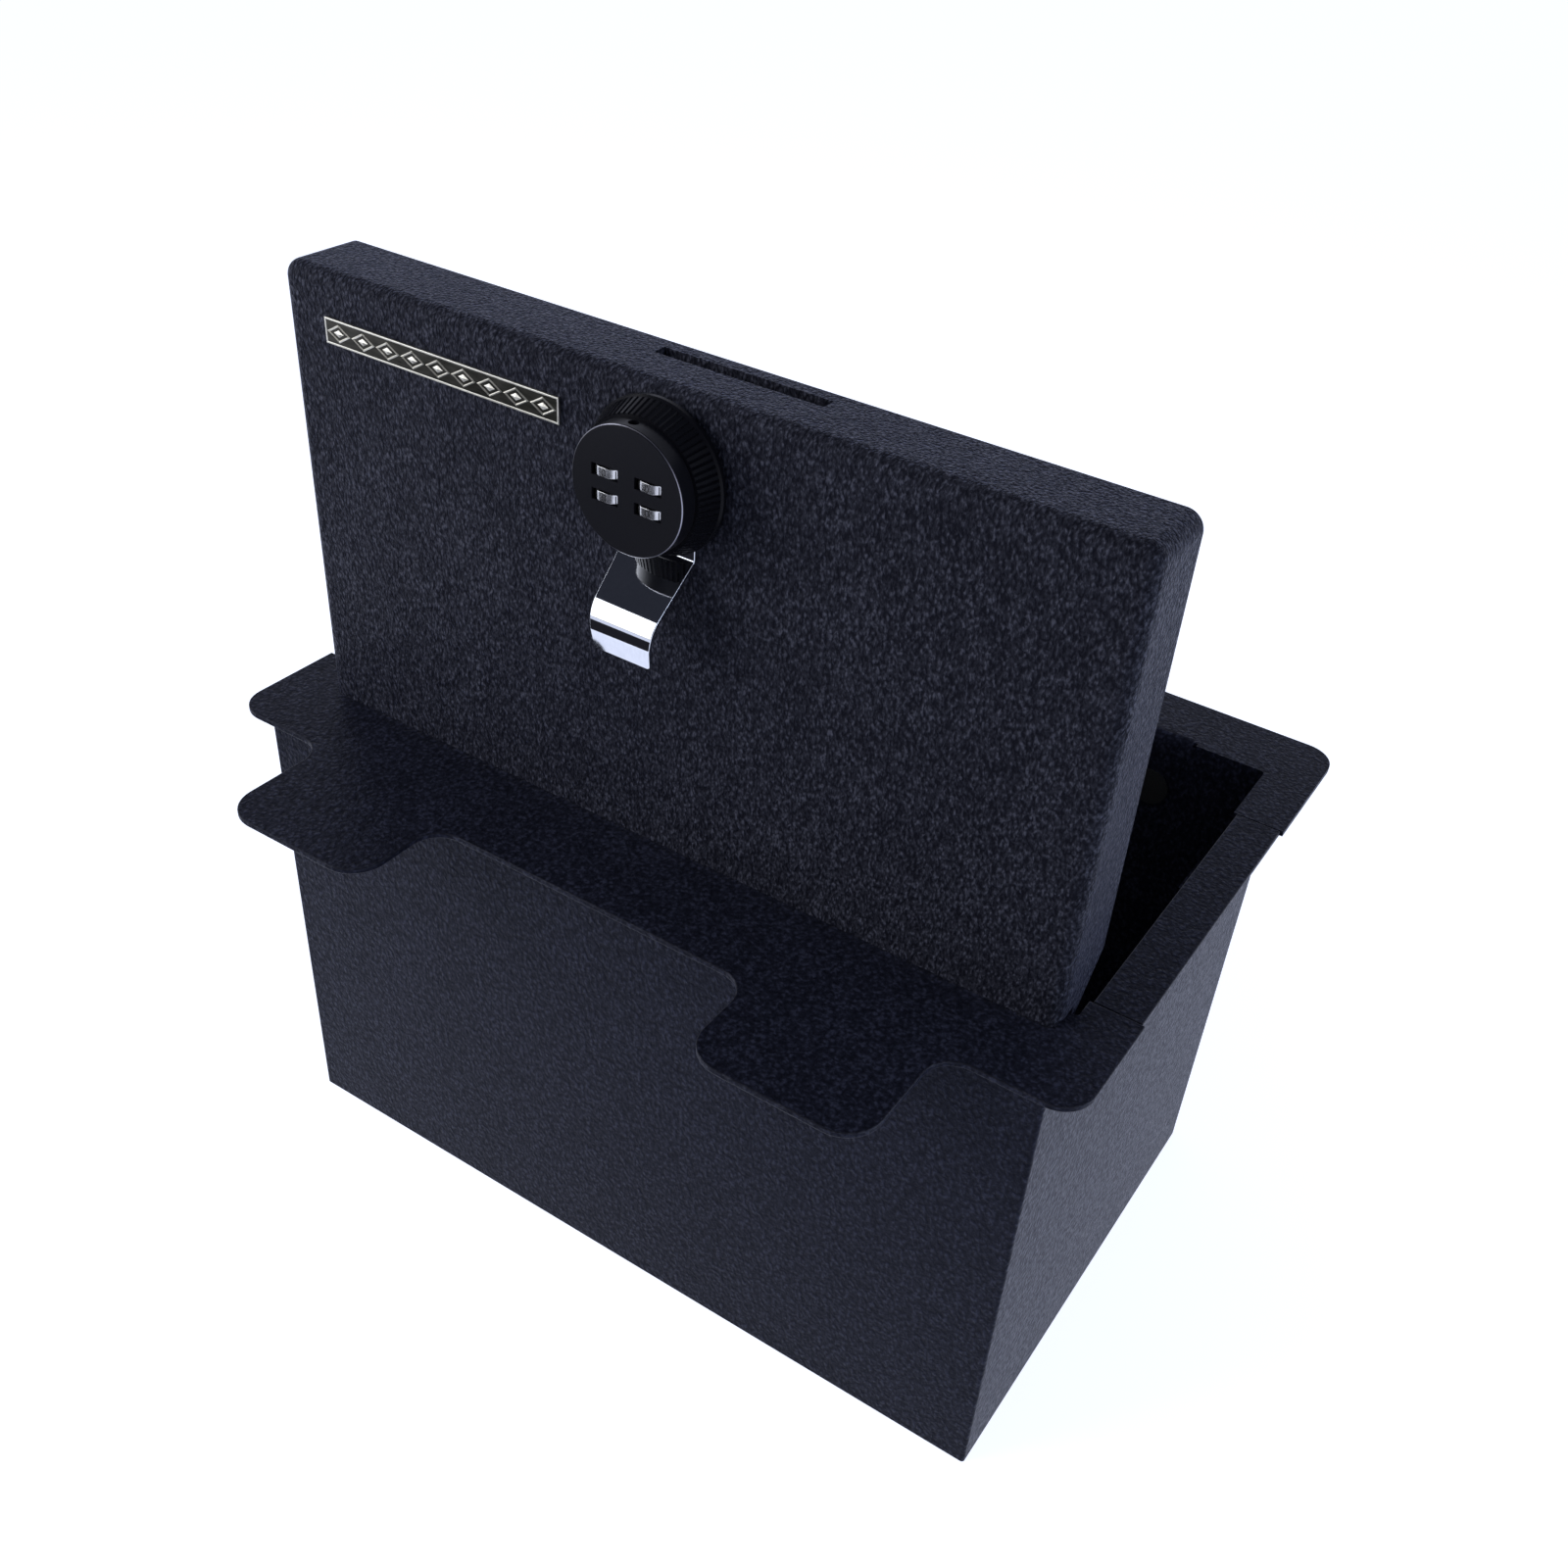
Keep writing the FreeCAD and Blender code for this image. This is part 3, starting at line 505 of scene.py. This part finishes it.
# Stage: pale floor, dim ceiling, dark screen and two softboxes
def seen_white(tree):
    """1 for rays from the camera, mirrors and glass, and 0 for the rest."""
    path = add_node(tree, "ShaderNodeLightPath")
    seen = math_node(tree, "ADD", path.outputs["Is Camera Ray"], path.outputs["Is Glossy Ray"])
    seen = math_node(tree, "ADD", seen, path.outputs["Is Transmission Ray"])
    return math_node(tree, "MINIMUM", seen, 1.0)


def stage_piece(name, shape, material):
    mesh = bpy.data.meshes.new(name)
    shape.to_mesh(mesh)
    shape.free()
    piece = bpy.data.objects.new(name, mesh)
    bpy.context.scene.collection.objects.link(piece)
    mesh.materials.append(material)
    return piece


def only_in_reflections(piece):
    piece.visible_camera = False
    piece.visible_diffuse = False
    piece.visible_shadow = False


def make_floor():
    disc = bmesh.new()
    bmesh.ops.create_circle(disc, cap_ends=True, segments=96, radius=floor_radius)
    material = bpy.data.materials.new("floor")
    material.use_nodes = True
    tree = material.node_tree
    tree.nodes.remove(tree.nodes["Principled BSDF"])
    diffuse = add_node(tree, "ShaderNodeBsdfDiffuse", {"Color": floor_white})
    glow = add_node(tree, "ShaderNodeEmission", {"Color": floor_glow})
    tree.links.new(seen_white(tree), glow.inputs["Strength"])
    total = add_node(tree, "ShaderNodeAddShader")
    tree.links.new(diffuse.outputs[0], total.inputs[0])
    tree.links.new(glow.outputs[0], total.inputs[1])
    tree.links.new(total.outputs[0], tree.nodes["Material Output"].inputs["Surface"])
    floor = stage_piece("floor", disc, material)
    floor.location.z = -floor_drop


def make_world():
    """White as a backdrop, and an even room light for the rest."""
    world = bpy.data.worlds.new("studio")
    bpy.context.scene.world = world
    world.use_nodes = True
    tree = world.node_tree
    room = tree.nodes["Background"]
    room.inputs["Color"].default_value = room_light
    white = add_node(tree, "ShaderNodeBackground", {"Color": (1, 1, 1, 1)})
    choice = add_node(tree, "ShaderNodeMixShader")
    tree.links.new(seen_white(tree), choice.inputs[0])
    tree.links.new(room.outputs[0], choice.inputs[1])
    tree.links.new(white.outputs[0], choice.inputs[2])
    tree.links.new(choice.outputs[0], tree.nodes["World Output"].inputs["Surface"])


def glow_material(name, colour):
    """An unlit stage surface; also returns the socket for its colour."""
    material = bpy.data.materials.new(name)
    material.use_nodes = True
    tree = material.node_tree
    tree.nodes.remove(tree.nodes["Principled BSDF"])
    glow = add_node(tree, "ShaderNodeEmission", {"Color": colour})
    tree.links.new(glow.outputs[0], tree.nodes["Material Output"].inputs["Surface"])
    return material, tree, glow.inputs["Color"]


def make_canopy():
    """The studio's ceiling and walls, paler low down behind the object and at its sides."""
    bowl = bmesh.new()
    bmesh.ops.create_uvsphere(bowl, u_segments=64, v_segments=40, radius=canopy_radius)
    low = [vert for vert in bowl.verts if vert.co.z < canopy_low * canopy_radius]
    bmesh.ops.delete(bowl, geom=low, context="VERTS")
    material, tree, colour = glow_material("canopy", ceiling_dark)
    split = add_node(tree, "ShaderNodeSeparateXYZ")
    tree.links.new(object_coords(tree, (1 / canopy_radius,) * 3), split.inputs[0])
    behind = remap(tree, split.outputs["Y"], low=-0.15, high=0.45, to_low=0.0, to_high=1.0)
    at_left = remap(tree, split.outputs["X"], low=-0.58, high=-0.76, to_low=0.0, to_high=0.4)
    below_ceiling = remap(tree, split.outputs["Z"], low=0.55, high=0.90, to_low=1.0, to_high=0.0)
    at_right = remap(tree, split.outputs["X"], low=0.45, high=0.70, to_low=0.0, to_high=0.6)
    at_side = math_node(tree, "MAXIMUM", at_left, at_right)
    pale = math_node(tree, "MULTIPLY", math_node(tree, "MAXIMUM", behind, at_side), below_ceiling)
    tree.links.new(ramp(tree, pale, [(0.0, ceiling_dark), (1.0, ceiling_pale)]), colour)
    only_in_reflections(stage_piece("canopy", bowl, material))


def make_front_flag():
    """A low dark screen round the front of the table, where the photograph's reflections go dark."""
    screen = bmesh.new()
    low_before = high_before = None
    steps = 24
    for step in range(steps + 1):
        part_way = (flag_to_degrees - flag_from_degrees) * step / steps
        angle = math.radians(flag_from_degrees + part_way)
        foot = flag_middle + Vector((math.cos(angle), math.sin(angle), 0)) * flag_radius
        low = screen.verts.new(foot)
        high = screen.verts.new(foot + Vector((0, 0, flag_height)))
        if low_before:
            screen.faces.new((low_before, low, high, high_before))
        low_before, high_before = low, high
    material = glow_material("front_flag", flag_colour)[0]
    only_in_reflections(stage_piece("front_flag", screen, material))


def softbox(name, place, aim, width, height, radiance, colour):
    """A rectangular lamp that faces a point; its surface is as bright as radiance says."""
    lamp = bpy.data.lights.new(name, "AREA")
    lamp.shape = "RECTANGLE"
    lamp.size = width
    lamp.size_y = height
    lamp.energy = radiance * math.pi * width * height
    lamp.color = colour
    holder = bpy.data.objects.new(name, lamp)
    holder.location = place
    holder.rotation_euler = (Vector(aim) - Vector(place)).to_track_quat("-Z", "Y").to_euler()
    holder.visible_camera = False
    bpy.context.scene.collection.objects.link(holder)


def make_camera():
    camera = bpy.data.cameras.new("camera")
    camera.lens = camera_lens_mm
    camera.sensor_width = camera_sensor_mm
    camera.shift_x, camera.shift_y = camera_shift
    camera.clip_start = 0.01
    holder = bpy.data.objects.new("camera", camera)
    upright = camera_direction.to_track_quat("-Z", "Y").to_matrix().to_4x4()
    roll = Matrix.Rotation(camera_roll, 4, "Z")
    holder.matrix_world = Matrix.Translation(camera_place) @ upright @ roll
    bpy.context.scene.collection.objects.link(holder)
    bpy.context.scene.camera = holder


make_floor()
make_world()
make_canopy()
make_front_flag()
softbox(
    "window", place=(-0.78, -0.72, 0.62), aim=(0, -0.10, 0.27),
    width=0.90, height=0.80, radiance=3.4, colour=(0.95, 0.97, 1.0),
)
softbox(
    "right_softbox", place=(1.20, 0.15, 0.32), aim=(0.15, 0, 0.25),
    width=0.90, height=0.50, radiance=4.2, colour=(0.70, 0.81, 1.0),
)
make_camera()
bpy.context.scene.view_settings.view_transform = "Standard"
